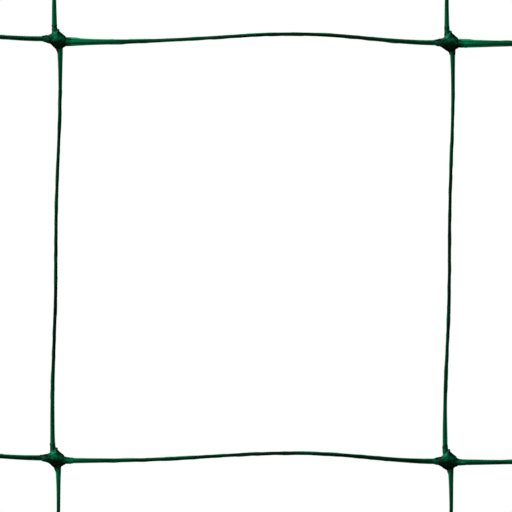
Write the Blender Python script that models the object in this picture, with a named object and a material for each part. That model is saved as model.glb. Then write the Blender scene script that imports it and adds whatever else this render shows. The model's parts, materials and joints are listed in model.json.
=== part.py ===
"""Climbing-plant net: a piece of drawn plastic garden netting, cut from its roll.

Three meshes wide and three deep. It hangs in the XZ plane from its top row of knots, with its front
towards -Y. Rows are counted from the top and columns from the left, both from 1. Everything is in metres.
"""
import math

import bpy

# ---- driving dimensions -------------------------------------------------------------------------
MESH_WIDTH = 0.150            # knot centre to knot centre, across
MESH_HEIGHT = 0.160           # knot centre to knot centre, down
COLUMNS = 4                   # knots in a row
ROWS = 4                      # rows of knots

KNOT_THICKNESS = 0.0024       # front flat to back flat
KNOT_EDGE = 0.0006            # rounding of the knot's rim
KNOT_REACH_UP = 0.0046        # knot centre to the end of each stub that a strand grows from
KNOT_REACH_DOWN = 0.0040
KNOT_REACH_LEFT = 0.0052
KNOT_REACH_RIGHT = 0.0045
KNOT_SHOULDER = 0.0031        # knot centre to the corners of the lump itself
KNOT_CUTBACK = 0.8            # its lower right corner, as a share of the shoulder
SELVEDGE_CORNER = 0.6         # height of an outer knot's lower corner, as a share of its absent stub

CROSS_WIDTH = 0.00127         # cross strand at its thinnest
CROSS_ROOT_RIGHT = 0.0026     # its width where it leaves a knot to the right
CROSS_ROOT_LEFT = 0.0019      # and where it reaches the next knot
CROSS_FLARE_RIGHT = 0.010     # length over which each root narrows
CROSS_FLARE_LEFT = 0.025
CROSS_BOW = 0.0032            # how far it arches above the line between its knots
CROSS_PEAK = 1.4              # exponents of the arch: where it peaks and how full it is
CROSS_FULLNESS = 2
LEFT_STUB_SHIFT = 0.0         # how far above a knot's centre a cross strand reaches it
RIGHT_STUB_SHIFT = -0.0003    # and leaves it

DOWN_WIDTH = 0.00120          # down strand at its thinnest
DOWN_ROOT = 0.0020            # its width at a knot
DOWN_FLARE = 0.008
DOWN_START = 0.0007           # down strand's distance to the right of its knots' centres
DOWN_LEAN = 0.0020            # and how much of that it loses from one knot to the next
DOWN_SWAY = 0.00028           # size of one full wave in it, and of two
DOWN_WANDER = 0.0003

FLATNESS = 0.47               # a strand's thickness over its width
NECK_LENGTH = 0.013           # stiff flared length of a down strand below each knot
TAIL_LENGTH = 0.018           # what the scissors left above the top row and below the bottom row
GAP = 0.0003                  # clearance where two solids meet

STATIONS = 13                 # points along a full strand
END_STATIONS = 5              # points along a neck or a tail
TIP_STEPS = 3                 # points round the rounded tip on a hinge axis
TIP_CAP = 0.45                # radius left at the tip's end, as a share of the tip
SIDES = 1                     # bevel resolution of every strand

NET_GREEN = (0.004, 0.085, 0.038, 1.0)


# ---- scene and material -------------------------------------------------------------------------
def clear_scene():
    for leftover in list(bpy.data.objects):
        bpy.data.objects.remove(leftover)


def plastic(name, colour, roughness):
    made = bpy.data.materials.new(name)
    made.use_nodes = True
    shader = made.node_tree.nodes["Principled BSDF"]
    shader.inputs["Base Color"].default_value = colour
    shader.inputs["Roughness"].default_value = roughness
    shader.inputs["Metallic"].default_value = 0.0
    return made


def add_to_net(name, data, location, material):
    made = bpy.data.objects.new(name, data)
    made.location = location
    data.materials.append(material)
    net.objects.link(made)
    return made


# ---- where things are ---------------------------------------------------------------------------
def knot_x(column):
    return (column - (COLUMNS + 1) / 2) * MESH_WIDTH


def knot_z(row):
    return -(row - 1) * MESH_HEIGHT


def flare(thin, root, length, distance):
    """How much wider than its thin middle a strand is, at a distance from a knot."""
    return (root - thin) * math.exp(-distance / length)


# Heights below the centre of the knot above, for the three hinge lines of a course of meshes.
NECK_TIP = DOWN_ROOT / 2
FOLD_DROP = KNOT_REACH_DOWN + GAP + NECK_TIP
STRAND_TOP_TIP = (DOWN_WIDTH + flare(DOWN_WIDTH, DOWN_ROOT, DOWN_FLARE, NECK_LENGTH)) / 2
SKEW_DROP = FOLD_DROP + NECK_LENGTH + GAP + STRAND_TOP_TIP
STRAND_FOOT_TIP = DOWN_ROOT / 2
LEVEL_DROP = MESH_HEIGHT - KNOT_REACH_UP - GAP - STRAND_FOOT_TIP


def down_shift(drop):
    """Sideways place of a down strand, at a drop below the knot above."""
    t = drop / MESH_HEIGHT
    waves = DOWN_SWAY * math.sin(2 * math.pi * t) + DOWN_WANDER * math.sin(4 * math.pi * t)
    return DOWN_START - DOWN_LEAN * t + waves


# A knot is skewed, so the strands above and below it stand off its centre to opposite sides.
BOTTOM_STUB_SHIFT = down_shift(KNOT_REACH_DOWN)
TOP_STUB_SHIFT = down_shift(MESH_HEIGHT - KNOT_REACH_UP)


def down_width(drop):
    above = flare(DOWN_WIDTH, DOWN_ROOT, DOWN_FLARE, drop - KNOT_REACH_DOWN)
    below = flare(DOWN_WIDTH, DOWN_ROOT, DOWN_FLARE, MESH_HEIGHT - KNOT_REACH_UP - drop)
    return DOWN_WIDTH + above + below


# ---- strands ------------------------------------------------------------------------------------
def strand(name, location, stations, material):
    """A flattened strand through stations of (x, z, width), in the plane of the net."""
    line = bpy.data.curves.new(name, "CURVE")
    line.dimensions = "3D"
    line.bevel_depth = 0.5 * DOWN_WIDTH
    line.bevel_resolution = SIDES
    line.use_fill_caps = True
    spline = line.splines.new("POLY")
    spline.points.add(len(stations) - 1)
    for point, (x, z, width) in zip(spline.points, stations):
        point.co = (x, 0, z, 1)
        point.radius = width / DOWN_WIDTH
    made = add_to_net(name, line, location, material)
    made.scale.y = FLATNESS
    return made


def eased(count):
    """Shares from 0 to 1 that crowd towards both ends."""
    return [0.5 - 0.5 * math.cos(math.pi * i / (count - 1)) for i in range(count)]


def rounded_tip(x, z, radius, towards):
    """Stations of a half round about a hinge at (x, z), from its end to its middle; towards is 1 up or -1 down."""
    found = []
    for i in range(TIP_STEPS):
        width_share = TIP_CAP + (1 - TIP_CAP) * i / TIP_STEPS
        reach = math.sqrt(1 - width_share**2)
        found.append((x, z + towards * radius * reach, 2 * radius * width_share))
    return found


def cross_strand(row, column, material):
    start = KNOT_REACH_RIGHT + GAP
    end = MESH_WIDTH - KNOT_REACH_LEFT - GAP
    stations = []
    for t in eased(STATIONS):
        x = start + (end - start) * t
        arch = CROSS_BOW * math.sin(math.pi * t**CROSS_PEAK) ** CROSS_FULLNESS
        z = RIGHT_STUB_SHIFT + (LEFT_STUB_SHIFT - RIGHT_STUB_SHIFT) * t + arch
        leaving = flare(CROSS_WIDTH, CROSS_ROOT_RIGHT, CROSS_FLARE_RIGHT, x - start)
        arriving = flare(CROSS_WIDTH, CROSS_ROOT_LEFT, CROSS_FLARE_LEFT, end - x)
        stations.append((x, z, CROSS_WIDTH + leaving + arriving))
    name = f"cross_strand_r{row}_c{column}"
    return strand(name, (knot_x(column), 0, knot_z(row)), stations, material)


def neck(row, column, material):
    """The stiff flared start of a down strand, with its tip on the fold line under the knots."""
    x = down_shift(FOLD_DROP)
    stations = rounded_tip(x, -FOLD_DROP, NECK_TIP, 1)
    for i in range(END_STATIONS):
        drop = FOLD_DROP + NECK_LENGTH * i / (END_STATIONS - 1)
        stations.append((down_shift(drop), -drop, down_width(drop)))
    name = f"neck_r{row}_c{column}"
    return strand(name, (knot_x(column), 0, knot_z(row)), stations, material)


def down_strand(row, column, material):
    """The drawn strand, with a rounded tip on the hinge at each end."""
    stations = rounded_tip(down_shift(SKEW_DROP), -SKEW_DROP, STRAND_TOP_TIP, 1)
    for t in eased(STATIONS):
        drop = SKEW_DROP + (LEVEL_DROP - SKEW_DROP) * t
        stations.append((down_shift(drop), -drop, down_width(drop)))
    stations += reversed(rounded_tip(down_shift(LEVEL_DROP), -LEVEL_DROP, STRAND_FOOT_TIP, -1))
    name = f"down_strand_r{row}_c{column}"
    return strand(name, (knot_x(column), 0, knot_z(row)), stations, material)


def tail(row, column, upwards, material):
    """A down strand that the scissors cut short, above the top row or below the bottom row."""
    shift = TOP_STUB_SHIFT if upwards else BOTTOM_STUB_SHIFT
    reach = KNOT_REACH_UP if upwards else KNOT_REACH_DOWN
    sign = 1 if upwards else -1
    stations = []
    for i in range(END_STATIONS):
        out = TAIL_LENGTH * i / (END_STATIONS - 1)
        width = DOWN_WIDTH + flare(DOWN_WIDTH, DOWN_ROOT, DOWN_FLARE, out)
        stations.append((shift, sign * (reach + GAP + out), width))
    name = f"{'top' if upwards else 'bottom'}_tail_c{column}"
    return strand(name, (knot_x(column), 0, knot_z(row)), stations, material)


# ---- knots --------------------------------------------------------------------------------------
def knot_outline(column):
    """Corners of a knot, clockwise from the top stub's left corner. A knot at the edge has no outer stub."""
    half_down = DOWN_ROOT / 2
    half_left = CROSS_ROOT_LEFT / 2
    half_right = CROSS_ROOT_RIGHT / 2
    top = [
        (TOP_STUB_SHIFT - half_down, KNOT_REACH_UP),
        (TOP_STUB_SHIFT + half_down, KNOT_REACH_UP),
    ]
    if column < COLUMNS:
        right = [
            (KNOT_SHOULDER, RIGHT_STUB_SHIFT + half_right),
            (KNOT_REACH_RIGHT, RIGHT_STUB_SHIFT + half_right),
            (KNOT_REACH_RIGHT, RIGHT_STUB_SHIFT - half_right),
            (KNOT_SHOULDER * KNOT_CUTBACK, RIGHT_STUB_SHIFT - half_right),
        ]
    else:
        right = [(KNOT_SHOULDER, half_right), (KNOT_SHOULDER, -half_right * SELVEDGE_CORNER)]
    bottom = [
        (BOTTOM_STUB_SHIFT + half_down, -KNOT_SHOULDER),
        (BOTTOM_STUB_SHIFT + half_down, -KNOT_REACH_DOWN),
        (BOTTOM_STUB_SHIFT - half_down, -KNOT_REACH_DOWN),
    ]
    if column > 1:
        left = [
            (-KNOT_SHOULDER, LEFT_STUB_SHIFT - half_left),
            (-KNOT_REACH_LEFT, LEFT_STUB_SHIFT - half_left),
            (-KNOT_REACH_LEFT, LEFT_STUB_SHIFT + half_left),
            (-KNOT_SHOULDER, LEFT_STUB_SHIFT + half_left),
        ]
    else:
        left = [(-KNOT_SHOULDER, -half_left * SELVEDGE_CORNER), (-KNOT_SHOULDER, half_left)]
    shoulder = [(TOP_STUB_SHIFT - half_down, KNOT_SHOULDER)]
    return top + right + bottom + left + shoulder


def knot(row, column, material):
    """The lump where the strands cross: a skewed lozenge with a flat front and back."""
    name = f"knot_r{row}_c{column}"
    outline = bpy.data.curves.new(name, "CURVE")
    outline.dimensions = "2D"
    outline.fill_mode = "BOTH"
    outline.bevel_depth = KNOT_EDGE
    outline.bevel_resolution = 0
    outline.extrude = KNOT_THICKNESS / 2 - KNOT_EDGE
    outline.offset = -KNOT_EDGE
    corners = knot_outline(column)
    spline = outline.splines.new("POLY")
    spline.points.add(len(corners) - 1)
    for point, (x, z) in zip(spline.points, corners):
        point.co = (x, z, 0, 1)
    spline.use_cyclic_u = True
    made = add_to_net(name, outline, (knot_x(column), 0, knot_z(row)), material)
    made.rotation_euler.x = math.pi / 2
    return made


# ---- the net ------------------------------------------------------------------------------------
def build():
    green = plastic("green_plastic", NET_GREEN, 0.35)
    for row in range(1, ROWS + 1):
        for column in range(1, COLUMNS + 1):
            knot(row, column, green)
            if column < COLUMNS:
                cross_strand(row, column, green)
            if row < ROWS:
                neck(row, column, green)
                down_strand(row, column, green)
    for column in range(1, COLUMNS + 1):
        tail(1, column, True, green)
        tail(ROWS, column, False, green)


clear_scene()
net = bpy.data.collections.new("climbing_plant_net")
bpy.context.scene.collection.children.link(net)
build()
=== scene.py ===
# %% [markdown]
# # A net for climbing plants
#
# The real net is one sheet of plastic. Thin ropes of soft plastic are laid across each other, they fuse
# where they cross, and then the whole sheet is drawn out to several times its size. The ropes stretch into
# thin flat strands, and the crossings stay behind as small thick knots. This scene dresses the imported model
# of such a net: a knot, a cross strand and a down strand are each modelled the way they were formed, and
# then made again, each a little different, over the rows and columns of the net.
#
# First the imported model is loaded. Everything below takes its place from it.

# %% Load the frame
import json
import math

import bmesh
import bpy
from mathutils import Matrix, Vector, noise


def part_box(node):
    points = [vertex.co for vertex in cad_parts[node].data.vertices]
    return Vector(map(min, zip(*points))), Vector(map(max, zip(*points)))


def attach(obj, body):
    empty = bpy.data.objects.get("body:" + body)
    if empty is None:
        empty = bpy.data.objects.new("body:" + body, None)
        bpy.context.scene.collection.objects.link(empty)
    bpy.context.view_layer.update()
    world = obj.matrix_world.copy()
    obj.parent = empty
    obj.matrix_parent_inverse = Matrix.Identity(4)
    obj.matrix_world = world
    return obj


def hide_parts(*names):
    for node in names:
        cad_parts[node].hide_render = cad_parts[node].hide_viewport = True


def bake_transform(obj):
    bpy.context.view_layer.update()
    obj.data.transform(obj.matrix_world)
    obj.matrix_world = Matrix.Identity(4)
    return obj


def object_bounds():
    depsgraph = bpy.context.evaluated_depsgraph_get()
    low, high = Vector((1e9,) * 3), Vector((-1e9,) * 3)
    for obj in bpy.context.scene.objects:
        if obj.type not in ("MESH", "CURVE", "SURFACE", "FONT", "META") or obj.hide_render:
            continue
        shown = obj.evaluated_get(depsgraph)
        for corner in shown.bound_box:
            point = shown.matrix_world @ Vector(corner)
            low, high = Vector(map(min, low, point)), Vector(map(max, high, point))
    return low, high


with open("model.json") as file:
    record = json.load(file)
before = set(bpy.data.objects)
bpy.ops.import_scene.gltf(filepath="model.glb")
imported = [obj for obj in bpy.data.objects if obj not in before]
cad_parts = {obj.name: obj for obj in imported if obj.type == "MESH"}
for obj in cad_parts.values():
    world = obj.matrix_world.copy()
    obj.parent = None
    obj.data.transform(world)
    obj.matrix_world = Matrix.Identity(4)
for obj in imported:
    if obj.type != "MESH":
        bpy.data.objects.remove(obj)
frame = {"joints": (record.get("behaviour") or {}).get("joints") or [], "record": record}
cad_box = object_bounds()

MM = 0.001

# %% [markdown]
# The net hangs in the XZ plane with its front towards -Y. The knots' places could be typed in, but they
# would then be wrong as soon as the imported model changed. So they are worked out from it: its corner knots
# carry mounts on their backs, and those give the spacing of all the knots. The hinges say where the net
# bends: under each knot it folds backwards and forwards, further down each strand it leans sideways, and at
# its foot each strand meets the next row of knots.

# %% Knots and hinges
mount_at = {mount["name"]: Vector(mount["pos_m"]) for mount in frame["record"]["mounts"]}
joint_at = {joint["name"]: Vector(joint["pos_m"]) for joint in frame["joints"]}
top_left = mount_at["top_left_knot_back"]
bottom_right = mount_at["bottom_right_knot_back"]

COLUMNS = 4
ROWS = 4
MESH_WIDTH = (bottom_right.x - top_left.x) / (COLUMNS - 1)
MESH_HEIGHT = (top_left.z - bottom_right.z) / (ROWS - 1)
BROAD_ROWS = 2          # the upper rows, whose cross strands leave their knots broadest


def knot_at(row, column):
    """Centre of a knot, counting rows from the top and columns from the left."""
    return Vector((top_left.x + (column - 1) * MESH_WIDTH, 0, top_left.z - (row - 1) * MESH_HEIGHT))


FOLD_DROP = -joint_at["fold_1"].z
SKEW_DROP = -joint_at["skew_1"].z
LEVEL_DROP = -joint_at["level_2"].z
print(f"meshes {MESH_WIDTH:.3f} x {MESH_HEIGHT:.3f} m, folds {FOLD_DROP:.4f} m below the knots")

# %% [markdown]
# ## The stage
#
# A plant net is shown straight from the front. The camera could stand close to it with a short lens, but then
# the outer knots would be seen from their sides. So it stands far away with a long lens, square to the net.
# One mesh and its four knots fill its view. It is rolled by a quarter of a degree, as one held by hand is.

# %% Camera
CAMERA_DISTANCE = 3.0
FIELD_WIDTH = 0.1957
SENSOR = 36.0
CAMERA_CENTRE = Vector((0.00099, 0, -0.24182))
CAMERA_ROLL = math.radians(-0.24)

camera_data = bpy.data.cameras.new("front_camera")
camera_data.sensor_width = SENSOR
camera_data.lens = SENSOR * CAMERA_DISTANCE / FIELD_WIDTH
camera = bpy.data.objects.new("front_camera", camera_data)
camera.location = CAMERA_CENTRE - Vector((0, CAMERA_DISTANCE, 0))
camera.rotation_euler = (math.pi / 2, CAMERA_ROLL, 0)
bpy.context.collection.objects.link(camera)
bpy.context.scene.camera = camera
print(f"lens {camera_data.lens:.0f} mm")

# %% [markdown]
# A material could be wired up node by node, but a shader graph is easier to read as a sum than as boxes and
# wires. This class wraps one output socket, so that `a * b + 1` adds the Math nodes, and its `node` method
# adds any other node.


# %% Shader sums
class Wire:
    """An output socket of a node tree that can be used in sums."""

    def __init__(self, tree, socket=None):
        self.tree = tree
        self.socket = socket

    def node(self, kind, settings=None, inputs=None, output=0):
        """Adds a node: its settings first, then the values or links of its sockets."""
        made = self.tree.nodes.new(kind)
        for name, value in (settings or {}).items():
            setattr(made, name, value)
        for name, value in (inputs or {}).items():
            if isinstance(value, Wire):
                self.tree.links.new(value.socket, made.inputs[name])
            else:
                made.inputs[name].default_value = value
        return Wire(self.tree, made.outputs[output]) if made.outputs else made

    def math(self, operation, *values):
        """Adds a Math node with these values or wires."""
        return self.node("ShaderNodeMath", {"operation": operation}, dict(enumerate(values)))

    def __add__(self, other):
        return self.math("ADD", self, other)

    def __sub__(self, other):
        return self.math("SUBTRACT", self, other)

    def __rsub__(self, other):
        return self.math("SUBTRACT", other, self)

    def __mul__(self, other):
        return self.math("MULTIPLY", self, other)

    __radd__ = __add__
    __rmul__ = __mul__

    def between(self, low, high):
        """0 below low, 1 above high and smooth from one to the other."""
        settings = {"interpolation_type": "SMOOTHSTEP"}
        return self.node("ShaderNodeMapRange", settings, {"Value": self, "From Min": low, "From Max": high})

    def mix(self, colour_a, colour_b):
        """Colour a where this is 0 and colour b where it is 1."""
        sockets = {0: self, 6: colour_a, 7: colour_b}   # by number, because their names are used twice
        return self.node("ShaderNodeMix", {"data_type": "RGBA"}, sockets, output=2)


print("wires can be added, subtracted, multiplied, ramped and mixed")

# %% [markdown]
# The light is a plain studio's. A white world alone would light everything from all sides, and the glossy
# dark plastic would mirror it and turn grey. So the background is pure white to the eye but sheds little
# light. What lights the net is a large softbox up on the left in front, with a weaker one behind, and one
# overhead that leaves the undersides dark.

# %% World and softboxes
WORLD_WHITE = (1.0, 1.0, 1.0, 1.0)
WORLD_FILL = (0.06, 0.063, 0.066, 1.0)


def light_world():
    """A world that the camera sees as white, and the net as nearly dark."""
    world = bpy.data.worlds.new("studio")
    world.use_nodes = True
    world.node_tree.nodes.clear()
    start = Wire(world.node_tree)
    seen = start.node("ShaderNodeLightPath", output="Is Camera Ray")
    white = start.node("ShaderNodeBackground", inputs={"Color": WORLD_WHITE})
    fill = start.node("ShaderNodeBackground", inputs={"Color": WORLD_FILL})
    both = start.node("ShaderNodeMixShader", inputs={0: seen, 1: fill, 2: white})
    start.node("ShaderNodeOutputWorld", inputs={"Surface": both})
    bpy.context.scene.world = world


def softbox(name, place, size, power):
    """A square lamp at a place in metres, with its power in watts, aimed at the middle of the net."""
    target = (cad_box[0] + cad_box[1]) / 2
    data = bpy.data.lights.new(name, "AREA")
    data.shape = "SQUARE"
    data.size = size
    data.energy = power
    lamp = bpy.data.objects.new(name, data)
    lamp.location = place
    lamp.rotation_euler = (target - Vector(place)).to_track_quat("-Z", "Y").to_euler()
    bpy.context.collection.objects.link(lamp)


light_world()
softbox("key_softbox", (-1.7, -1.3, 1.5), 0.8, 44)
softbox("back_softbox", (1.2, 1.8, 0.9), 0.9, 20)
softbox("top_softbox", (-0.2, -0.4, 2.0), 1.4, 26)
scene = bpy.context.scene
scene.view_settings.view_transform = "Standard"
print("three softboxes and a white world")

# %% [markdown]
# The floor lies just under the net's lowest tails. It is a disc, far wider than the net. A painted floor
# would turn grey where the softboxes don't reach, so most of its paleness is a faint glow, as of a lit
# table, and the rest is paint that takes the net's soft shadow. It sheds no light back onto the net.

# %% Floor
FLOOR_GAP = 0.02
FLOOR_RADIUS = 2.2
FLOOR_SIDES = 96
FLOOR_ROUGHNESS, FLOOR_SPECULAR = 0.8, 0.1
FLOOR_GLOW = (0.875, 0.88, 0.875, 1.0)
FLOOR_PAINT = (0.13, 0.13, 0.13, 1.0)


def lay_floor():
    """The disc, its paint, and what it is kept from doing to the light."""
    height = cad_box[0].z - FLOOR_GAP
    bpy.ops.mesh.primitive_circle_add(
        vertices=FLOOR_SIDES, radius=FLOOR_RADIUS, fill_type="NGON", location=(0, 0, height)
    )
    floor = bpy.context.object
    floor.name = "pale_floor"
    material = bpy.data.materials.new("floor_paint")
    material.use_nodes = True
    shader = material.node_tree.nodes["Principled BSDF"]
    shader.inputs["Base Color"].default_value = FLOOR_PAINT
    shader.inputs["Emission Color"].default_value = FLOOR_GLOW
    shader.inputs["Emission Strength"].default_value = 1.0
    shader.inputs["Roughness"].default_value = FLOOR_ROUGHNESS
    shader.inputs["Specular IOR Level"].default_value = FLOOR_SPECULAR
    floor.data.materials.append(material)
    floor.visible_diffuse = False
    floor.visible_glossy = False


lay_floor()
print("floor at z", round(cad_box[0].z - FLOOR_GAP, 3))

# %% [markdown]
# ## The plastic
#
# It is one green polypropylene all over, yet it doesn't look it. Drawn thin it lets light through and shows
# a fresh green, most of all at a strand's edges and where a root fans out wide. Where it is thick it
# swallows the light and looks almost black. Each piece therefore carries a value called `paleness`, from 0
# for dark to 1 for pale, and the material turns it into colour. Part of it is the plastic's own tone, thick
# or thin, and part is painted light and shade: the paler green stands in for light coming through the thin
# plastic, and painted highlights and painted shade are added where the key light falls on the knots and
# strands or misses them. Drawing also combs the surface into fine lines along each strand, which a map with
# its U along the strand can follow, while a knot keeps a grain that runs in no direction. Real light through
# the plastic is left out: on strands this thin a paler green looks the same.

# %% Strand and knot plastic
DEEP_GREEN = (0.0004, 0.0100, 0.0030, 1.0)
NET_GREEN = (0.0008, 0.1150, 0.0440, 1.0)
FRESH_GREEN = (0.0010, 0.4000, 0.1600, 1.0)
FIBRE_SCALE = (260, 9000, 1)          # along the strand, across it
GRAIN_SCALE = 1300.0
CLOUD_SCALE = 75.0
FIBRE_CONTRAST, GRAIN_CONTRAST, CLOUD_CONTRAST = 0.35, 1.1, 0.5
NET_FROM, NET_TO = 0.0, 0.45          # paleness over which deep green turns to net green
FRESH_FROM, FRESH_TO = 0.4, 1.0
STRAND_ROUGHNESS, KNOT_ROUGHNESS, ROUGHNESS_SPREAD = 0.42, 0.36, 0.16
STRAND_BUMP, KNOT_BUMP = 0.2, 0.4
BUMP_DEPTH = 0.12 * MM
SPECULAR = 0.2
SPECULAR_TINT = (0.25, 1.0, 0.7, 1.0)


def plastic(name, combed):
    """The net's plastic, combed along a strand or wrinkled on a knot."""
    material = bpy.data.materials.new(name)
    material.use_nodes = True
    tree = material.node_tree
    shader = tree.nodes["Principled BSDF"]
    start = Wire(tree)
    paleness = start.node("ShaderNodeAttribute", {"attribute_name": "paleness"}, output="Fac")
    place = start.node("ShaderNodeTexCoord", output="Object")
    if combed:
        along = start.node("ShaderNodeUVMap", {"uv_map": "drawn"})
        fibres = start.node("ShaderNodeMapping", inputs={"Vector": along, "Scale": FIBRE_SCALE})
        lines = start.node("ShaderNodeTexNoise", {}, {"Vector": fibres, "Scale": 1.0, "Detail": 3.0})
    else:
        lines = start.node("ShaderNodeTexNoise", {}, {"Vector": place, "Scale": GRAIN_SCALE, "Detail": 3.0})
    cloudy = start.node("ShaderNodeTexNoise", {}, {"Vector": place, "Scale": CLOUD_SCALE, "Detail": 2.0})
    contrast = FIBRE_CONTRAST if combed else GRAIN_CONTRAST
    tone = paleness + (lines - 0.5) * contrast + (cloudy - 0.5) * CLOUD_CONTRAST
    dark_to_net = tone.between(NET_FROM, NET_TO).mix(DEEP_GREEN, NET_GREEN)
    colour = tone.between(FRESH_FROM, FRESH_TO).mix(dark_to_net, FRESH_GREEN)
    tree.links.new(colour.socket, shader.inputs["Base Color"])
    rough = (STRAND_ROUGHNESS if combed else KNOT_ROUGHNESS) + lines * ROUGHNESS_SPREAD
    tree.links.new(rough.socket, shader.inputs["Roughness"])
    shader.inputs["Specular IOR Level"].default_value = SPECULAR
    shader.inputs["Specular Tint"].default_value = SPECULAR_TINT
    strength = STRAND_BUMP if combed else KNOT_BUMP
    relief = {"Height": lines, "Strength": strength, "Distance": BUMP_DEPTH}
    bump = start.node("ShaderNodeBump", inputs=relief)
    tree.links.new(bump.socket, shader.inputs["Normal"])
    return material


strand_plastic = plastic("drawn_green_polypropylene", combed=True)
knot_plastic = plastic("undrawn_green_polypropylene", combed=False)
print("materials:", strand_plastic.name, knot_plastic.name)

# %% [markdown]
# ## Tools of the trade
#
# Modelling by hand is a rhythm of opening a piece in edit mode, picking some of its parts and moving them.
# Each of these takes the same few calls every time, and an operator acts on all that is picked, so it is
# easy to forget one. These helpers do the opening and the picking, and the steps below read like
# instructions.

# %% Edit helpers
SHARP_FROM = math.radians(55)
FACING = 0.9            # how much of a face's normal has to point along an axis to face that way


def only(piece):
    """Selects one piece alone and makes it active."""
    if bpy.context.mode != "OBJECT":
        bpy.ops.object.mode_set(mode="OBJECT")
    bpy.ops.object.select_all(action="DESELECT")
    piece.select_set(True)
    bpy.context.view_layer.objects.active = piece


def open_edit(piece, kind):
    """Opens a piece in edit mode with nothing picked; kind is VERT, EDGE or FACE."""
    only(piece)
    bpy.ops.object.mode_set(mode="EDIT")
    bpy.ops.mesh.select_mode(type=kind)
    bpy.ops.mesh.select_all(action="DESELECT")


def close_edit():
    """Back to object mode, which writes the edits to the mesh."""
    bpy.ops.object.mode_set(mode="OBJECT")


def pick(piece, parts, wanted):
    """Picks the verts, edges or faces of an open piece for which wanted(part) is true, and no others."""
    bpy.ops.mesh.select_all(action="DESELECT")
    cage = bmesh.from_edit_mesh(piece.data)
    for part in getattr(cage, parts):
        if wanted(part):
            part.select_set(True)
    cage.select_flush_mode()
    bmesh.update_edit_mesh(piece.data)


def picked_middle(piece):
    """Middle and size of what is picked in an open piece."""
    cage = bmesh.from_edit_mesh(piece.data)
    places = [vert.co for vert in cage.verts if vert.select]
    low = Vector([min(place[axis] for place in places) for axis in range(3)])
    high = Vector([max(place[axis] for place in places) for axis in range(3)])
    return (low + high) / 2, high - low


def shade_round(piece):
    """Smooth shading, except over sharp edges."""
    only(piece)
    bpy.ops.object.shade_smooth_by_angle(angle=SHARP_FROM)


def apply_modifier(piece, kind, **settings):
    """Adds a modifier with its settings and applies it."""
    only(piece)
    modifier = piece.modifiers.new(kind.lower(), kind)
    for name, value in settings.items():
        setattr(modifier, name, value)
    bpy.ops.object.modifier_apply(modifier=modifier.name)


def copy_of(piece, name):
    """A new piece with its own copy of another's mesh."""
    copied = bpy.data.objects.new(name, piece.data.copy())
    bpy.context.collection.objects.link(copied)
    return copied


print(f"helpers ready, edges sharper than {math.degrees(SHARP_FROM):.0f} degrees stay sharp")

# %% [markdown]
# ## A strand
#
# A drawn strand is a flat tape with rounded edges and two shallow grooves along each face. It could be a
# curve with a bevel, but then its edges could not be worked on while it is straight. So a strand begins as
# a straight bar along X: a cylinder, squashed flat, with the grooves pressed in, and many rings so that it
# can bend. While it is still straight it gets its `drawn` map. A Curve modifier then lays it along its
# route. The route's points also say how wide the strand is there and how far it is twisted.

# %% Tape
TAPE_WIDTH = 1.27 * MM
TAPE_FLATNESS = 0.47
TAPE_SIDES = 24
RING_SPACING = 1.1 * MM
GROOVE_PLACE = 0.24       # of the width, to either side of the middle
GROOVE_HALF = 0.08
GROOVE_DEPTH = 0.07


def tape(name, length):
    """A straight, flat, grooved bar of tape from the origin along +X."""
    rings = max(2, round(length / RING_SPACING))
    bpy.ops.mesh.primitive_cylinder_add(
        vertices=TAPE_SIDES, radius=TAPE_WIDTH / 2, depth=length,
        location=(length / 2, 0, 0), rotation=(0, math.pi / 2, 0),
    )
    bar = bpy.context.object
    bar.name = name
    only(bar)
    bpy.ops.object.transform_apply(location=True, rotation=True, scale=True)
    open_edit(bar, "EDGE")
    pick(bar, "edges", lambda edge: abs(edge.verts[0].co.x - edge.verts[1].co.x) > length / 2)
    bpy.ops.mesh.subdivide(number_cuts=rings - 1)
    bpy.ops.mesh.select_all(action="SELECT")
    bpy.ops.transform.resize(value=(1, TAPE_FLATNESS, 1))
    bpy.ops.mesh.select_mode(type="VERT")
    low = (GROOVE_PLACE - GROOVE_HALF) * TAPE_WIDTH
    high = (GROOVE_PLACE + GROOVE_HALF) * TAPE_WIDTH
    for side in (-1, 1):
        pick(bar, "verts", lambda vert: low < abs(vert.co.z) < high and vert.co.y * side > 0)
        bpy.ops.transform.translate(value=(0, -side * GROOVE_DEPTH * TAPE_WIDTH, 0))
    close_edit()
    return bar


def draw_map(bar):
    """The map's U is the distance along the bar, and V the distance across it."""
    layer = bar.data.uv_layers.new(name="drawn")
    for loop in bar.data.loops:
        at = bar.data.vertices[loop.vertex_index].co
        layer.data[loop.index].uv = (at.x, at.z + (TAPE_WIDTH if at.y > 0 else 0))


def lay(bar, route):
    """Bends a bar along a route of (point, width, twist in degrees), and applies the bend."""
    line = bpy.data.curves.new("route", "CURVE")
    line.dimensions = "3D"
    line.twist_mode = "Z_UP"
    line.use_stretch = True
    line.use_deform_bounds = True
    spline = line.splines.new("POLY")
    spline.points.add(len(route) - 1)
    for knee, (place, width, twist) in zip(spline.points, route):
        knee.co = (*place, 1)
        knee.radius = width / TAPE_WIDTH
        knee.tilt = math.radians(twist)
    guide = bpy.data.objects.new("route", line)
    bpy.context.collection.objects.link(guide)
    apply_modifier(bar, "CURVE", object=guide, deform_axis="POS_X")
    bpy.data.objects.remove(guide)


print(f"tape {TAPE_WIDTH / MM:.2f} mm wide and {TAPE_FLATNESS * TAPE_WIDTH / MM:.2f} mm thick")
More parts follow.
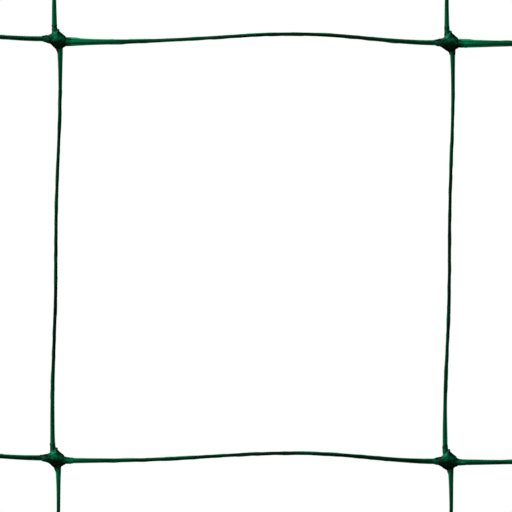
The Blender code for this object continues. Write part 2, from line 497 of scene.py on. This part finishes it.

# %% [markdown]
# No two strands are quite alike: each wanders a little, swells and thins, and turns slightly on itself. One
# strand copied all over would show, so each gets its own course from smooth noise, read at a place that
# depends on its row and column. Away from the knots, thin fins stand out from the edges in short stretches,
# first on one edge and then on the other, and beside a broad root lies a film that ends in a step. The
# strand's paleness is settled here too: pale at its fins, at its edges near a knot and at a broad root, and
# dark where it is drawn thin and round. Painted shade is laid over that: darker in its grooves near a knot,
# darker on one edge than the other in turns that shift along it, and on a down strand darker on its right
# edge, the side turned away from the key light.

# %% Individual strands
WANDER = 0.12 * MM
SWELL = 0.09                         # of the width
TWIST = 16                           # degrees
WAVER_PACE = 45                      # how far the noise moves on in a metre
SWELL_PACE, FIN_PACE = 2, 5          # how much faster than a strand wanders
CORE_PALENESS = 0.14
EDGE_PALENESS = 0.80
EDGE_FROM, EDGE_TO = 0.40, 0.90      # of the half width
GROOVE_AT, GROOVE_SPREAD = 0.50, 0.14
# painted shade in the grooves
GROOVE_PAINTED_SHADE = 0.6                    # share of a root's paleness that a groove takes away
FRESH_LENGTH = 22 * MM               # how far the pale edges reach from a knot
MID_SHARE = 0.35                     # how much of them is left in the middle
# The first is the plastic's own tone drifting along a strand; the second is painted shade that darkens one
# edge more than the other.
ALONG_DRIFT, ACROSS_PAINTED_SHADE = 0.15, 0.25
FIN = 0.06 * MM                      # each of a fin's two steps
FIN_LEVELS = (0.0, 0.2)
FIN_FROM = 0.47                      # of the width
FIN_CLEAR = 18 * MM
FIN_PALENESS = 0.7
FIN_PALE_AT = 0.3                    # noise at which a fin is at its palest
FIN_EDGE = 4                         # the higher, the closer its paleness keeps to the edge
FILM = 0.10 * MM
ROUTE_STEP = 1.0 * MM

# The noise is read far apart for each row, column and layer, and each use has its own layer.
ROW_APART, COLUMN_APART, LAYER_APART = 3.7, 5.1, 11.3
CROSS_PATH, CROSS_SWELL, CROSS_TURN = 1, 2, 3
PALE_ALONG, PALE_ACROSS, LOWER_FIN, UPPER_FIN = 4, 5, 6, 7
DOWN_PATH, DOWN_SWELL, DOWN_TURN = 11, 12, 13
TAIL_TURN = 21


def waver(x, row, column, layer):
    """Smooth noise from -1 to 1 along a strand, which changes about every 2 cm."""
    place = (x * WAVER_PACE, row * ROW_APART + layer * LAYER_APART, column * COLUMN_APART)
    return noise.noise(Vector(place))


def flare(thin, root, length, distance):
    """Width that a strand gains towards a knot, at a distance from where it is root wide."""
    return (root - thin) * math.exp(-max(distance, 0) / length)


def smooth(low, high, value):
    """0 below low, 1 above high and smooth from one to the other."""
    t = min(max((value - low) / (high - low), 0), 1)
    return t * t * (3 - 2 * t)


def fin_noise(x, side, row, column):
    """The noise that says where an edge has fins; side is above 0 for the upper edge."""
    return waver(x * FIN_PACE, row, column, UPPER_FIN if side > 0 else LOWER_FIN)


def pull_fins(bar, length, row, column, film_end=0.0):
    """Pulls thin fins out of a straight bar's edges, in short stretches, and a film as far as film_end."""
    open_edit(bar, "VERT")
    for side in (1, -1):
        for level in FIN_LEVELS:
            pick(bar, "verts", lambda vert: (
                vert.co.z * side > FIN_FROM * TAPE_WIDTH
                and FIN_CLEAR < vert.co.x < length - FIN_CLEAR
                and fin_noise(vert.co.x, side, row, column) > level
            ))
            bpy.ops.transform.translate(value=(0, 0, side * FIN))
    pick(bar, "verts", lambda vert: vert.co.z > FIN_FROM * TAPE_WIDTH and vert.co.x < film_end)
    bpy.ops.transform.translate(value=(0, 0, FILM))
    close_edit()


def finish_strand(bar, route_of, length, row, column, root_paleness, painted_side_shade=0.0):
    """Gives a straight bar its map and its paleness, with painted shade towards +Z by painted_side_shade, and
    lays it.
    """
    draw_map(bar)
    attribute = bar.data.attributes.new("paleness", "FLOAT", "POINT")
    for vert, value in zip(bar.data.vertices, attribute.data):
        x = vert.co.x
        side = vert.co.z / (TAPE_WIDTH / 2)
        near = MID_SHARE + (1 - MID_SHARE) * math.exp(-min(x, length - x) / FRESH_LENGTH)
        edge = near * EDGE_PALENESS * smooth(EDGE_FROM, EDGE_TO, abs(side))
        # painted shade in the grooves: they take part of a root's paleness away
        groove = math.exp(-(((abs(side) - GROOVE_AT) / GROOVE_SPREAD) ** 2))
        root = root_paleness(x) * (1 - GROOVE_PAINTED_SHADE * groove)
        along = ALONG_DRIFT * waver(x, row, column, PALE_ALONG)
        # painted shade: one edge lit and the other shaded, in turns that shift slowly along the strand
        across = ACROSS_PAINTED_SHADE * side * waver(x, row, column, PALE_ACROSS)
        fin = smooth(0.0, FIN_PALE_AT, fin_noise(x, side, row, column)) * abs(side) ** FIN_EDGE
        pale = near * CORE_PALENESS + edge + root + along + across + FIN_PALENESS * fin
        # painted shade on the +Z edge, which on a down strand is its right edge, away from the key light
        value.value = pale - painted_side_shade * side
    count = max(3, round(length / ROUTE_STEP) + 1)
    lay(bar, [route_of(length * i / (count - 1)) for i in range(count)])
    bar.data.materials.append(strand_plastic)


print(f"fins of up to {len(FIN_LEVELS) * FIN / MM:.2f} mm, films of {FILM / MM:.2f} mm")

# %% [markdown]
# ### Cross strands
#
# A cross strand leaves its knot as a broad fan, narrows within two centimetres, climbs to a low arch a
# little past the middle and comes down to the next knot. The arch could be a few points set by hand, but a
# formula stays smooth and follows the mesh if its width changes: a sine whose peak is pushed along by a
# power. The strand's two ends are buried in the knots.

# %% Cross strands
CROSS_START = 1.6 * MM
CROSS_END = MESH_WIDTH - 2.2 * MM
ARCH_START = 4.8 * MM
ARCH_END = MESH_WIDTH - 5.5 * MM
CROSS_BOW = 3.2 * MM                 # height of the arch in the second row
BOW_LOSS = 0.06                      # of it, from one row to the next
CROSS_PEAK = 1.4                     # above 1, the arch peaks past the middle
CROSS_FULLNESS = 2                   # the higher, the slimmer the arch
CROSS_LEAVES = -0.3 * MM
ARRIVES_UPPER, ARRIVES_LOWER = 0.9 * MM, 0.7 * MM
CROSS_THIN = 1.25 * MM
FILM_END = 7.2 * MM
LEAVING_ROOT = 3.3 * MM
LEAVING_FLARE, LAST_LEAVING_FLARE = 15 * MM, 26 * MM
LOWER_BREADTH = 0.5                  # of what the broad rows' strands gain at their start
ARRIVING_ROOT = 2.1 * MM
ARRIVING_FLARE = 25 * MM
LEAVING_PALENESS, LEAVING_FADE = 0.75, 22 * MM
ARRIVING_PALENESS, ARRIVING_FADE = 0.1, 12 * MM


def cross_arrives(row, column):
    """How high a cross strand reaches its second knot; the first of each row comes in higher."""
    if column != 1:
        return 0.0
    return ARRIVES_UPPER if row <= BROAD_ROWS else ARRIVES_LOWER


def cross_strand(row, column):
    """The strand that leaves a knot to the right and the body of its packed one."""
    length = CROSS_END - CROSS_START
    breadth = 1.0 if row <= BROAD_ROWS else LOWER_BREADTH
    leaving_flare = LEAVING_FLARE if column < COLUMNS - 1 else LAST_LEAVING_FLARE
    bow = CROSS_BOW * (1 - BOW_LOSS * (row - 2))

    def route_of(s):
        x = CROSS_START + s
        t = min(max((x - ARCH_START) / (ARCH_END - ARCH_START), 0), 1)
        arch = bow * math.sin(math.pi * t**CROSS_PEAK) ** CROSS_FULLNESS
        z = CROSS_LEAVES + (cross_arrives(row, column) - CROSS_LEAVES) * t + arch
        z += WANDER * math.sin(math.pi * s / length) * waver(s, row, column, CROSS_PATH)
        leaving = breadth * flare(CROSS_THIN, LEAVING_ROOT, leaving_flare, x - ARCH_START)
        arriving = flare(CROSS_THIN, ARRIVING_ROOT, ARRIVING_FLARE, ARCH_END - x)
        swell = 1 + SWELL * waver(s * SWELL_PACE, row, column, CROSS_SWELL)
        width = (CROSS_THIN + leaving + arriving) * swell
        return (x, 0, z), width, TWIST * waver(s, row, column, CROSS_TURN)

    def root_paleness(s):
        leaving = LEAVING_PALENESS * breadth * math.exp(-s / LEAVING_FADE)
        return leaving + ARRIVING_PALENESS * math.exp(-(length - s) / ARRIVING_FADE)

    bar = tape(f"drawn_cross_strand_r{row}_c{column}", length)
    pull_fins(bar, length, row, column, FILM_END if row <= BROAD_ROWS else 0.0)
    finish_strand(bar, route_of, length, row, column, root_paleness)
    shade_round(bar)
    bar.data.transform(Matrix.Translation(knot_at(row, column)))
    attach(bar, f"row_{row}")
    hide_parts(f"cross_strand_r{row}_c{column}")
    return bar


cross_strands = [cross_strand(r, c) for r in range(1, ROWS + 1) for c in range(1, COLUMNS)]
print(len(cross_strands), "cross strands of", len(cross_strands[0].data.polygons), "faces")

# %% [markdown]
# ### Down strands
#
# The strands that hang down are the straighter ones. A down strand leaves its knot right of the middle and
# drifts to the left on its way to the next one. The tape helper works along X, so it is laid out along X
# too and turned to hang afterwards. Its foot is round, so that it can turn in the top of the next knot. A
# ball would have to be joined to the strand, so the foot is pulled out of the bar's own end face, step by
# step.

# %% A whole down strand
DOWN_START = 1.5 * MM
DOWN_THIN = 1.25 * MM
DOWN_ROOT, DOWN_FLARE, DOWN_FLARE_FROM = 2.1 * MM, 9 * MM, 4 * MM
FOOT_ROOT, FOOT_FLARE = 2.0 * MM, 16 * MM
FOOT_STEPS = 4
FOOT_ROUNDNESS = math.radians(84)    # 90 would end in a point
DOWN_SET, DOWN_LEAN, DOWN_SWAY, DOWN_WANDER = 0.7 * MM, 2.0 * MM, 0.28 * MM, 0.3 * MM
DOWN_BULGE = 0.2 * MM
NECK_PALENESS, FOOT_PALENESS, DOWN_FADE = 0.35, 0.3, 14 * MM
# painted shade on a down strand's right edge
DOWN_PAINTED_SIDE_SHADE = 0.22


def down_shift(drop):
    """Sideways place of a down strand at a drop below the knot above."""
    t = drop / MESH_HEIGHT
    waves = DOWN_SWAY * math.sin(2 * math.pi * t) + DOWN_WANDER * math.sin(4 * math.pi * t)
    return DOWN_SET - DOWN_LEAN * t + waves


def down_width(drop, row, column):
    """Width of a down strand: broad below its knot, thin in the middle and broader again at its foot."""
    from_above = flare(DOWN_THIN, DOWN_ROOT, DOWN_FLARE, drop - DOWN_FLARE_FROM)
    from_below = flare(DOWN_THIN, FOOT_ROOT, FOOT_FLARE, LEVEL_DROP - drop)
    swell = 1 + SWELL * waver(drop * SWELL_PACE, row, column, DOWN_SWELL)
    return (DOWN_THIN + from_above + from_below) * swell


def round_foot(bar):
    """Rounds off the far end of a bar by pulling its end face out in smaller and smaller steps."""
    open_edit(bar, "FACE")
    far = max(vert.co.x for vert in bar.data.vertices)
    pick(bar, "faces", lambda face: face.normal.x > FACING and face.verts[0].co.x > far / 2)
    middle, size = picked_middle(bar)
    radius = size.z / 2
    turned = 0.0
    for step in range(1, FOOT_STEPS + 1):
        angle = FOOT_ROUNDNESS * step / FOOT_STEPS
        out = radius * (math.sin(angle) - math.sin(turned))
        shrink = math.cos(angle) / math.cos(turned)
        bpy.ops.mesh.extrude_region_move(TRANSFORM_OT_translate={"value": (out, 0, 0)})
        middle.x += out
        bpy.ops.transform.resize(value=(1, shrink, shrink), center_override=middle)
        turned = angle
    close_edit()


def whole_down_strand(row, column):
    """A strand along X from the knot above to its round foot; those left and right bulge outwards."""
    length = LEVEL_DROP - DOWN_START
    bulge = DOWN_BULGE * (1 if column > COLUMNS / 2 else -1)

    def route_of(s):
        drop = DOWN_START + s
        free = math.sin(math.pi * s / length)
        shift = down_shift(drop) + (WANDER * waver(s, row, column, DOWN_PATH) + bulge) * free
        return (drop, 0, shift), down_width(drop, row, column), TWIST * waver(s, row, column, DOWN_TURN)

    def root_paleness(s):
        neck = NECK_PALENESS * math.exp(-s / DOWN_FADE)
        return neck + FOOT_PALENESS * math.exp(-(length - s) / DOWN_FADE)

    bar = tape("whole_strand", length)
    pull_fins(bar, length, row, column)
    finish_strand(bar, route_of, length, row, column, root_paleness, DOWN_PAINTED_SIDE_SHADE)
    round_foot(bar)
    return bar


print(f"a down strand drifts {(down_shift(0) - down_shift(LEVEL_DROP)) / MM:.1f} mm to the left")

# %% [markdown]
# The net folds under the knot and leans lower down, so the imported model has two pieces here: a neck, which
# bends from the row above, and the rest, which bends from the neck. Two bars laid end to end would never
# match in width and twist, so the strand is made whole and then cut in two across its neck. The cut faces
# meet and stay hidden.

# %% Necks and down strands
HANG = Matrix(((0, 0, 1, 0), (0, 1, 0, 0), (-1, 0, 0, 0), (0, 0, 0, 1)))   # +X turns down, +Z right
RISE = Matrix(((0, 0, 1, 0), (0, -1, 0, 0), (1, 0, 0, 0), (0, 0, 0, 1)))   # +X turns up, +Z right
FOLD_BEND, SKEW_BEND = 2.7 * MM, 5 * MM     # half the length over which a strand bends
NECK_CUT = SKEW_DROP - SKEW_BEND


def set_on_end(piece, row, column, turn):
    """Turns what was laid along +X to hang down from its knot, or to rise from it."""
    piece.data.transform(Matrix.Translation(knot_at(row, column)) @ turn)


def cut_across(piece, drop, keep_above):
    """Cuts a piece lying along X at a distance and closes it there."""
    open_edit(piece, "FACE")
    bpy.ops.mesh.select_all(action="SELECT")
    bpy.ops.mesh.bisect(
        plane_co=(drop, 0, 0), plane_no=(1, 0, 0), use_fill=True,
        clear_outer=keep_above, clear_inner=not keep_above,
    )
    close_edit()


def down_strand(row, column):
    """A neck and the strand below it, cut apart a little above the hinge where the net leans sideways."""
    whole = whole_down_strand(row, column)
    upper = copy_of(whole, f"drawn_neck_r{row}_c{column}")
    lower = copy_of(whole, f"drawn_down_strand_r{row}_c{column}")
    bpy.data.objects.remove(whole)
    cut_across(upper, NECK_CUT, keep_above=True)
    cut_across(lower, NECK_CUT, keep_above=False)
    for piece in (upper, lower):
        shade_round(piece)
        set_on_end(piece, row, column, HANG)
    knot = knot_at(row, column)
    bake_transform(upper)
    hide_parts(f"neck_r{row}_c{column}")
    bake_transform(lower)
    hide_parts(f"down_strand_r{row}_c{column}")
    return upper, lower


down_strands = [down_strand(r, c) for r in range(1, ROWS) for c in range(1, COLUMNS + 1)]
print(len(down_strands), "down strands, each a neck and a length below it")

# %% [markdown]
# ### Tails
#
# The net was cut from its roll with scissors, through the strands above the top row and below the bottom
# row. Short tails are left there, each with a slanting cut. A tail could be a piece cut out of a whole
# strand, but one that is free at its end curls a little, so it gets a short route of its own, and one cut.

# %% Tails
TAIL_CUT_SLANT = 0.35
TAIL_CUT_BACK = 0.5 * MM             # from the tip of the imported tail
TOP_TAIL_START = 3.4 * MM
TAIL_FLARE, TAIL_FLARE_FROM = 8 * MM, 5 * MM
TAIL_CURL = 3 * WANDER
TAIL_PALENESS, TAIL_FADE = 0.3, 12 * MM


def tail(column, upwards):
    """The cut end of a strand, above the top row or below the bottom row."""
    row = 1 if upwards else ROWS
    node = f"{'top' if upwards else 'bottom'}_tail_c{column}"
    low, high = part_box(node)
    knot = knot_at(row, column)
    reach = (high.z - knot.z) if upwards else (knot.z - low.z)
    start = TOP_TAIL_START if upwards else DOWN_START
    length = reach - start
    side = down_shift(LEVEL_DROP) if upwards else down_shift(FOLD_DROP)

    def route_of(s):
        out = start + s
        width = DOWN_THIN + flare(DOWN_THIN, DOWN_ROOT, TAIL_FLARE, out - TAIL_FLARE_FROM)
        curl = TAIL_CURL * (s / length) ** 2 * (1 if column % 2 else -1)
        return (out, 0, side + curl), width, TWIST * waver(s, row, column, TAIL_TURN)

    def root_paleness(s):
        return TAIL_PALENESS * math.exp(-s / TAIL_FADE)

    bar = tape(f"drawn_{node}", length)
    finish_strand(bar, route_of, length, row, column, root_paleness)
    open_edit(bar, "FACE")
    bpy.ops.mesh.select_all(action="SELECT")
    bpy.ops.mesh.bisect(
        plane_co=(reach - TAIL_CUT_BACK, 0, side), plane_no=(1, 0, TAIL_CUT_SLANT),
        use_fill=True, clear_outer=True,
    )
    close_edit()
    shade_round(bar)
    set_on_end(bar, row, column, RISE if upwards else HANG)
    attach(bar, f"row_{row}")
    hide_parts(node)
    return bar


tails = [tail(c, up) for up in (True, False) for c in range(1, COLUMNS + 1)]
print(len(tails), "tails")

# %% [markdown]
# ## A knot
#
# A knot is what stayed thick when the strands were drawn out of it. Two ropes of soft plastic lie across
# each other in it, and melted plastic has filled the corners between them. Modelling such a lump from one
# cage would need much planning and look less like something that has flowed. So it is made the way it came
# about: from simple parts that overlap, melted into one skin. The first parts are a short fat rope across
# and another one down behind it. Both begin as tape, and their ends hold the strands.

# %% Ropes
ROPE_DEPTH = 0.3 * MM


def rope(route):
    """A short tape laid along a route."""
    bar = tape("rope", (Vector(route[-1][0]) - Vector(route[0][0])).length)
    lay(bar, route)
    return bar


def rope_across(left_height, right_width):
    """From the left stub to the right one, bulging forwards over the rope that goes down."""
    stations = (  # x, z, forwards (1 is all the way), width, in mm
        (-6.9, left_height, 0, 1.7), (-5.6, left_height, 0, 2.4), (-4.4, left_height, 0.3, 3.1),
        (-3.0, 0.6 * left_height + 0.1, 0.8, 3.5), (-1.2, 0.25, 1, 3.7), (1.0, 0.0, 1, 3.5),
        (3.0, -0.2, 0.7, 3.1), (4.2, -0.32, 0.3, right_width + 0.1), (5.0, -0.35, 0, right_width),
        (6.4, -0.35, 0, right_width - 0.1),
    )
    route = [
        ((x * MM, -forwards * ROPE_DEPTH, z * MM), width * MM, 0) for x, z, forwards, width in stations
    ]
    return rope(route)


def rope_down():
    """From the top stub to the neck, bulging backwards."""
    stations = (  # drop, place to the right, backwards, width, in mm
        (-5.9, -1.42, 0, 2.1), (-4.6, -1.35, 0, 2.2), (-3.4, -1.2, 0.4, 2.6), (-1.8, -0.8, 1, 3.3),
        (0.0, -0.2, 1, 3.8), (1.6, 0.2, 1, 3.4), (3.0, 0.5, 0.5, 2.8), (4.0, 0.7, 0, 2.4),
        (4.8, 0.78, 0, 2.1),
    )
    route = [
        ((drop * MM, backwards * ROPE_DEPTH, x * MM), width * MM, 0) for drop, x, backwards, width in stations
    ]
    bar = rope(route)
    bar.data.transform(HANG)
    return bar


print(f"the ropes cross {2 * ROPE_DEPTH / MM:.1f} mm apart")

# %% [markdown]
# Between the ropes lies the filling, a skewed lozenge that swells on both faces. It could be built from
# single corners and faces, but a cylinder of eight sides already has them, closed and facing out, and its
# corners only have to be pulled to their places. Small spurs are left where plastic tore as it was drawn.
# The elbow is the rounded top of the rope down: the strand above turns in it when the net leans.

# %% Filling, spurs and elbow
FILLING_RADIUS = 3.4 * MM            # before its corners are pulled
FILLING_THICKNESS = 1.3 * MM
FILLING_SWELL, FILLING_RIM = 0.45 * MM, 0.9 * MM
CORNER_REACH = 0.3 * MM
SPUR_RADIUS, SPUR_TIP = 0.55 * MM, 0.2 * MM
ELBOW_RADIUS = 1.12 * MM
ELBOW_FLATNESS = 0.52
ELBOW_SIDE = -1.42 * MM


def filling(left_height):
    """The lozenge of melted plastic: an eight-sided slice whose corners are pulled out of round."""
    corners = (  # clockwise from the top stub's right side, in mm
        (0.2, 4.0), (2.9, 1.8), (3.6, -1.6), (1.5, -2.8),
        (-1.2 + 0.2 * left_height, -3.2 + 0.3 * left_height),
        (-3.6 + 0.6 * left_height, -1.6 + 0.75 * left_height),
        (-4.2, 1.1 + left_height), (-2.2, 2.3 + 0.9 * left_height),
    )
    half_step = math.pi / len(corners)
    bpy.ops.mesh.primitive_cylinder_add(
        vertices=len(corners), radius=FILLING_RADIUS, depth=FILLING_THICKNESS,
        rotation=(math.pi / 2, half_step, 0),
    )
    slab = bpy.context.object
    only(slab)
    bpy.ops.object.transform_apply(location=True, rotation=True, scale=True)
    open_edit(slab, "VERT")
    for number, corner in enumerate(corners):
        angle = (2 * number + 1) * half_step
        x, z = FILLING_RADIUS * math.sin(angle), FILLING_RADIUS * math.cos(angle)
        pick(slab, "verts", lambda vert: math.hypot(vert.co.x - x, vert.co.z - z) < CORNER_REACH)
        bpy.ops.transform.translate(value=(corner[0] * MM - x, 0, corner[1] * MM - z))
    bpy.ops.mesh.select_mode(type="FACE")
    for side in (-1, 1):
        pick(slab, "faces", lambda face: face.normal.y * side > FACING)
        bpy.ops.mesh.inset(thickness=FILLING_RIM, depth=FILLING_SWELL)
    close_edit()
    return slab


def spur(x, z, direction, length):
    """A sharp little leftover, pointing clockwise from the top by a direction in degrees; sizes in mm."""
    turn = math.radians(direction)
    bpy.ops.mesh.primitive_cone_add(
        vertices=12, radius1=SPUR_RADIUS, radius2=SPUR_TIP, depth=length * MM,
        rotation=(0, turn, 0), location=(x * MM, 0, z * MM),
    )
    thorn = bpy.context.object
    only(thorn)
    bpy.ops.object.transform_apply(location=True, rotation=True, scale=True)
    return thorn


def spurs(left_height):
    """One beside the top stub, and two where the left stub begins to be drawn."""
    return [
        spur(0.2, 4.0, 0, 1.5),
        spur(-5.3, left_height + 0.75, -70, 1.9),
        spur(-4.9, left_height - 0.85, 170, 1.2),
    ]


def elbow():
    """The round end of the top stub, which the foot of the strand above turns in."""
    bpy.ops.mesh.primitive_uv_sphere_add(segments=24, ring_count=12, radius=ELBOW_RADIUS)
    ball = bpy.context.object
    open_edit(ball, "VERT")
    bpy.ops.mesh.select_all(action="SELECT")
    bpy.ops.transform.resize(value=(1, ELBOW_FLATNESS, 1))
    bpy.ops.transform.translate(value=(ELBOW_SIDE, 0, MESH_HEIGHT - LEVEL_DROP))
    close_edit()
    return ball


print(f"filling {(FILLING_THICKNESS + 2 * FILLING_SWELL) / MM:.1f} mm thick")

# %% [markdown]
# Joining the parts leaves them as separate skins that pass through each other. A Boolean would unite them
# but keep every crease sharp. A voxel remesh melts them into one skin instead, and smoothing takes the
# voxels' steps off. A fold is pressed in beside the upper right side, where the two ropes met. The net's
# selvedge has no strand beyond its last knots, so the outer stub of those is cut off first, and melted
# closed.

# %% Melting them together
VOXEL = 0.13 * MM
SMOOTHING, SMOOTHING_ROUNDS = 0.5, 5
FOLD_FROM, FOLD_TO = Vector((0.35, 0, 3.3)) * MM, Vector((2.6, 0, 1.8)) * MM
FOLD_HALF = 0.32 * MM
FOLD_DEPTH = 0.35 * MM
SELVEDGE_CUT = 3.9 * MM
SELVEDGE_SLANT = 0.12


def off_fold(place):
    """Distance from the fold that runs beside the knot's upper right side, seen from the front."""
    along = FOLD_TO - FOLD_FROM
    flat = Vector((place.x, 0, place.z)) - FOLD_FROM
    share = min(max(flat.dot(along) / along.length_squared, 0), 1)
    return (flat - along * share).length


def press_fold(melted):
    """Presses the fold into the front and the back."""
    open_edit(melted, "VERT")
    for side in (-1, 1):
        pick(melted, "verts", lambda vert: vert.co.y * side > 0 and off_fold(vert.co) < FOLD_HALF)
        bpy.ops.transform.translate(value=(0, -side * FOLD_DEPTH, 0))
    close_edit()


def cut_selvedge(melted, side):
    """Cuts off the left (-1) or right (1) stub, and melts the cut closed."""
    open_edit(melted, "FACE")
    bpy.ops.mesh.select_all(action="SELECT")
    bpy.ops.mesh.bisect(
        plane_co=(side * SELVEDGE_CUT, 0, 0), plane_no=(side, 0, SELVEDGE_SLANT),
        use_fill=True, clear_outer=True,
    )
    close_edit()
    apply_modifier(melted, "REMESH", mode="VOXEL", voxel_size=VOXEL, adaptivity=0)


def fused_knot(left_height, right_width, cut_side):
    """One knot around the origin, its left stub at a height and its right stub of a width, in mm."""
    parts = [rope_across(left_height, right_width), rope_down(), filling(left_height), elbow()]
    parts += spurs(left_height)
    only(parts[0])
    for part in parts:
        part.select_set(True)
    bpy.ops.object.join()
    melted = bpy.context.object
    apply_modifier(melted, "REMESH", mode="VOXEL", voxel_size=VOXEL, adaptivity=0)
    if cut_side:
        cut_selvedge(melted, cut_side)
    press_fold(melted)
    apply_modifier(melted, "SMOOTH", factor=SMOOTHING, iterations=SMOOTHING_ROUNDS)
    return melted


print(f"voxels of {VOXEL / MM:.2f} mm, folds {FOLD_DEPTH / MM:.2f} mm deep")

# %% [markdown]
# The sixteen knots come in eight shapes, and what they share is modelled once for each. On the real net
# every knot is wrinkled in its own way. Copies that were merely turned would give themselves away, so each
# copy is moved to its place first, and two cloud textures then push its skin in and out there, a coarse one
# and a fine one. Its paleness is painted on before that, as smooth hills: paler out along the stubs, with a
# painted highlight on the upper left and painted shade low down and in the fold.

# %% Knots all over the net
WRINKLE = 0.3 * MM
WRINKLE_SCALE = 1.3 * MM
CRINKLE = 0.15 * MM
CRINKLE_SCALE = 0.45 * MM
BROAD_STUB, NARROW_STUB = 3.1, 2.5   # width of a right stub, in mm
KNOT_PALENESS = 0.12
# painted shade in the knot's fold, and how far it spreads
FOLD_PAINTED_SHADE, FOLD_SHADE = 0.5, 0.45 * MM


def clouds(name, scale):
    """A cloudy texture for pushing a skin in and out."""
    texture = bpy.data.textures.new(name, "CLOUDS")
    texture.noise_scale = scale
    texture.noise_depth = 1
    return texture


def hill(x, z, at_x, at_z, wide, high):
    """A smooth hill of height 1 over the knot's face: where its top is, and how wide and high it spreads."""
    return math.exp(-(((x - at_x) / wide) ** 2) - ((z - at_z) / high) ** 2)


def knot_paleness(x, z, left_height):
    """Paler out along the stubs, with a painted highlight towards the upper left, painted shade low down and
    in the fold, and darker along the left stub's upper edge; sizes in mm.
    """
    # painted highlight on the upper left of the knot, where the key light falls
    shoulder_highlight = 0.55 * hill(x, z, -1.3, 2.0, 1.3, 1.8) + 0.3 * hill(x, z, 1.0, 1.2, 1.6, 0.8)
    right_stub = 0.7 * hill(x, z, 6.0, -0.4, 3.0, 0.9)
    left_stub = 0.35 * hill(x, z, -5.6, left_height - 0.4, 2.6, 0.7)
    neck_stub = 0.4 * hill(x, z, 0.4, -5.0, 0.7, 1.6)
    top_stub = 0.4 * hill(x, z, -1.9, 5.4, 0.6, 2.2)
    # painted shade low on the knot, which faces down away from the light
    belly_shade = 0.65 * hill(x, z, -0.7, -1.3, 3.0, 1.3)
    left_edge = 0.3 * hill(x, z, -4.6, left_height + 1.1, 1.6, 0.5)
    # painted shade in the fold
    fold = FOLD_PAINTED_SHADE * math.exp(-((off_fold(Vector((x, 0, z)) * MM) / FOLD_SHADE) ** 2))
    pale = shoulder_highlight + right_stub + left_stub + neck_stub + top_stub
    return KNOT_PALENESS + pale - belly_shade - left_edge - fold


wrinkles = clouds("knot_wrinkles", WRINKLE_SCALE)
crinkles = clouds("knot_crinkles", CRINKLE_SCALE)
masters = {}


def master_knot(row, column):
    """One of the shapes: by the left stub's height, the right stub's width, and which stub is cut off."""
    left_height = cross_arrives(row, column - 1) / MM
    right_width = BROAD_STUB if row <= BROAD_ROWS else NARROW_STUB
    cut_side = {1: -1, COLUMNS: 1}.get(column, 0)
    shape = (left_height, right_width, cut_side)
    if shape not in masters:
        masters[shape] = fused_knot(*shape)
    return masters[shape]


def knot(row, column):
    """A knot with its own wrinkles, which come from the place it takes in the net."""
    piece = copy_of(master_knot(row, column), f"fused_knot_r{row}_c{column}")
    left_height = cross_arrives(row, column - 1) / MM
    attribute = piece.data.attributes.new("paleness", "FLOAT", "POINT")
    for vert, value in zip(piece.data.vertices, attribute.data):
        value.value = knot_paleness(vert.co.x / MM, vert.co.z / MM, left_height)
    piece.data.transform(Matrix.Translation(knot_at(row, column)))
    apply_modifier(piece, "DISPLACE", texture=wrinkles, strength=WRINKLE, mid_level=0.5)
    apply_modifier(piece, "DISPLACE", texture=crinkles, strength=CRINKLE, mid_level=0.5)
    shade_round(piece)
    piece.data.materials.append(knot_plastic)
    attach(piece, f"row_{row}")
    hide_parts(f"knot_r{row}_c{column}")
    return piece


knots = [knot(r, c) for r in range(1, ROWS + 1) for c in range(1, COLUMNS + 1)]
for master in masters.values():
    bpy.data.objects.remove(master)
print(len(knots), "knots in", len(masters), "shapes, the first of", len(knots[0].data.polygons), "faces")
